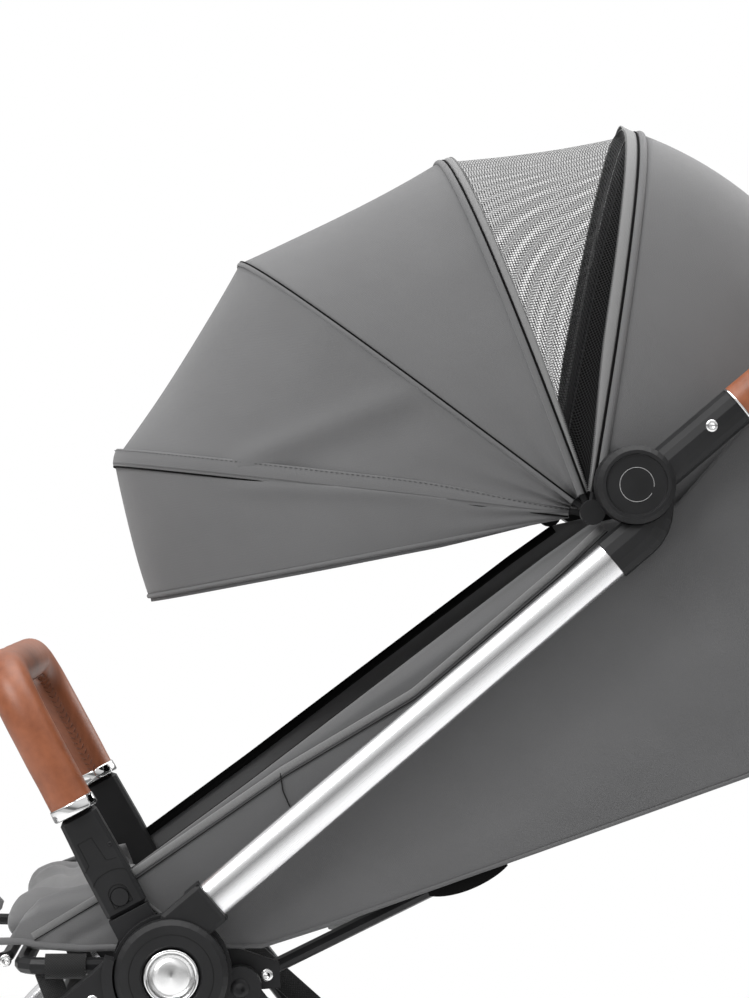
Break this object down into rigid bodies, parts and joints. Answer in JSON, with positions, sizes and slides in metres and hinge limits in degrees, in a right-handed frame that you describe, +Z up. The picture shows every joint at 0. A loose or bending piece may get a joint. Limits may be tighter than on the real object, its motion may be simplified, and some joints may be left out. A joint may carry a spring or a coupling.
{
  "type": "baby stroller",
  "caption": "Lightweight folding stroller with an extending fan canopy, reclining seat, leather-look bumper bar and handle, swivel front wheels and under-seat basket.",
  "frame": {"origin": "on the floor under the middle of the bounding box", "axes": "+Z up, -X forward (the way the child faces), -Y the stroller's left side"},
  "size_m": [0.9182, 0.488, 1.0978],
  "materials": {
    "silver_tube": "satin anodised",
    "hub_metal": "radially brushed",
    "black_plastic": "fine grain",
    "black_steel": "satin black powder coat",
    "brown_leather": "smooth stitched",
    "grey_fabric": "plain weave",
    "black_mesh": "open net",
    "tyre": "matte foam rubber",
    "buckle_button": "smooth"
  },
  "bodies": {
    "frame": {"frame_tube_left": "silver_tube", "frame_tube_right": "silver_tube", "lower_hub_left": "black_plastic", "lower_hub_right": "black_plastic", "hub_cap_left": "hub_metal", "hub_cap_right": "hub_metal", "elbow_left": "black_plastic", "elbow_right": "black_plastic", "seat_frame": "black_steel", "seat_pad": "grey_fabric", "canopy_bow_rear": "black_steel", "canopy_rear_panel": "grey_fabric", "side_panel_left": "grey_fabric", "side_panel_right": "grey_fabric", "harness_buckle": "black_plastic", "basket": "grey_fabric"},
    "front_legs": {"leg_fitting_left": "black_plastic", "leg_fitting_right": "black_plastic", "front_leg_left": "silver_tube", "front_leg_right": "silver_tube", "front_cross_tube": "black_steel", "caster_housing_left": "black_plastic", "caster_housing_right": "black_plastic"},
    "caster_left": {"caster_fork_left": "black_plastic"},
    "caster_right": {"caster_fork_right": "black_plastic"},
    "front_wheel_left": {"front_tyre_left": "tyre", "front_rim_left": "black_plastic"},
    "front_wheel_right": {"front_tyre_right": "tyre", "front_rim_right": "black_plastic"},
    "rear_legs": {"rear_leg_left": "black_steel", "rear_leg_right": "black_steel", "rear_cross_tube": "black_steel"},
    "rear_wheel_left": {"rear_tyre_left": "tyre", "rear_rim_left": "black_plastic"},
    "rear_wheel_right": {"rear_tyre_right": "tyre", "rear_rim_right": "black_plastic"},
    "brake": {"brake_pedal": "black_plastic"},
    "handle": {"handle_sleeve_left": "black_plastic", "handle_sleeve_right": "black_plastic", "handle_grip_left": "brown_leather", "handle_grip_right": "brown_leather", "handle_housing": "black_plastic"},
    "fold_button_body": {"fold_button": "hub_metal"},
    "canopy_window_bow": {"canopy_bow_window": "black_steel", "canopy_window": "black_mesh"},
    "canopy_middle_bow": {"canopy_bow_middle": "black_steel", "canopy_panel_middle": "grey_fabric"},
    "canopy_front_bow": {"canopy_bow_front": "black_steel", "canopy_panel_front": "grey_fabric", "canopy_visor": "grey_fabric"},
    "backrest": {"backrest_frame": "black_steel", "backrest_pad": "grey_fabric"},
    "leg_rest": {"leg_rest_frame": "black_steel", "leg_rest_pad": "grey_fabric"},
    "bumper": {"bumper_adapter_left": "black_plastic", "bumper_adapter_right": "black_plastic", "bumper_bar": "brown_leather"},
    "bumper_button_left_body": {"bumper_button_left": "black_plastic"},
    "bumper_button_right_body": {"bumper_button_right": "black_plastic"},
    "buckle_button_body": {"buckle_button": "buckle_button"}
  },
  "joints": [
    {"name": "front_leg_fold", "type": "hinge", "parent": "frame", "child": "front_legs", "pos_m": [-0.156, 0, 0.42], "axis": [0, -1, 0], "range_deg": [0, 90], "deforming": ["basket"]},
    {"name": "rear_leg_fold", "type": "hinge", "parent": "frame", "child": "rear_legs", "pos_m": [-0.103, 0, 0.406], "axis": [0, -1, 0], "range_deg": [0, 42.3]},
    {"name": "brake_press", "type": "hinge", "parent": "rear_legs", "child": "brake", "pos_m": [0.15609, 0, 0.11985], "axis": [0, 1, 0], "range_deg": [0, 18]},
    {"name": "handle_angle", "type": "hinge", "parent": "frame", "child": "handle", "pos_m": [0.20589, 0, 0.80033], "axis": [0, 1, 0], "range_deg": [-10, 12]},
    {"name": "fold_button_press", "type": "slide", "parent": "handle", "child": "fold_button_body", "axis": [0.6468, 0, -0.7627], "range_m": [0, 0.0025], "stiffness_N_per_m": 400, "springref_m": -0.001},
    {"name": "canopy_window_fold", "type": "hinge", "parent": "frame", "child": "canopy_window_bow", "pos_m": [0.174, 0, 0.779], "axis": [0, 1, 0], "range_deg": [0, 24], "deforming": ["canopy_window"]},
    {"name": "canopy_middle_fold", "type": "hinge", "parent": "canopy_window_bow", "child": "canopy_middle_bow", "pos_m": [0.174, 0, 0.779], "axis": [0, 1, 0], "range_deg": [0, 26.5], "deforming": ["canopy_panel_middle"]},
    {"name": "canopy_front_fold", "type": "hinge", "parent": "canopy_middle_bow", "child": "canopy_front_bow", "pos_m": [0.174, 0, 0.779], "axis": [0, 1, 0], "range_deg": [0, 24.5], "deforming": ["canopy_panel_front"]},
    {"name": "backrest_recline", "type": "hinge", "parent": "frame", "child": "backrest", "pos_m": [-0.082, 0, 0.414], "axis": [0, -1, 0], "range_deg": [0, 44]},
    {"name": "leg_rest_angle", "type": "hinge", "parent": "frame", "child": "leg_rest", "pos_m": [-0.2895, 0, 0.423], "axis": [0, -1, 0], "range_deg": [0, 70]},
    {"name": "bumper_release", "type": "slide", "parent": "frame", "child": "bumper", "axis": [-0.4695, 0, 0.8829], "range_m": [0, 0.1]},
    {"name": "buckle_press", "type": "slide", "parent": "frame", "child": "buckle_button_body", "axis": [0, 0, -1], "range_m": [0, 0.002], "stiffness_N_per_m": 400, "springref_m": -0.001},
    {"name": "caster_swivel_left", "type": "hinge", "parent": "front_legs", "child": "caster_left", "pos_m": [-0.388, -0.175, 0.14], "axis": [0, 0, 1], "continuous": true},
    {"name": "front_wheel_spin_left", "type": "hinge", "parent": "caster_left", "child": "front_wheel_left", "pos_m": [-0.353, -0.175, 0.065], "axis": [0, 1, 0], "continuous": true},
    {"name": "rear_wheel_spin_left", "type": "hinge", "parent": "rear_legs", "child": "rear_wheel_left", "pos_m": [0.1517, -0.222, 0.08], "axis": [0, 1, 0], "continuous": true},
    {"name": "bumper_button_left_press", "type": "slide", "parent": "bumper", "child": "bumper_button_left_body", "axis": [0, 1, 0], "range_m": [0, 0.0025], "stiffness_N_per_m": 400, "springref_m": -0.001},
    {"name": "caster_swivel_right", "type": "hinge", "parent": "front_legs", "child": "caster_right", "pos_m": [-0.388, 0.175, 0.14], "axis": [0, 0, 1], "continuous": true},
    {"name": "front_wheel_spin_right", "type": "hinge", "parent": "caster_right", "child": "front_wheel_right", "pos_m": [-0.353, 0.175, 0.065], "axis": [0, 1, 0], "continuous": true},
    {"name": "rear_wheel_spin_right", "type": "hinge", "parent": "rear_legs", "child": "rear_wheel_right", "pos_m": [0.1517, 0.222, 0.08], "axis": [0, 1, 0], "continuous": true},
    {"name": "bumper_button_right_press", "type": "slide", "parent": "bumper", "child": "bumper_button_right_body", "axis": [0, -1, 0], "range_m": [0, 0.0025], "stiffness_N_per_m": 400, "springref_m": -0.001}
  ],
  "couplings": [
    {"joint": "rear_leg_fold", "follows": "front_leg_fold", "ratio": 0.4666},
    {"joint": "canopy_front_fold", "follows": "canopy_middle_fold", "ratio": 0.92}
  ]
}
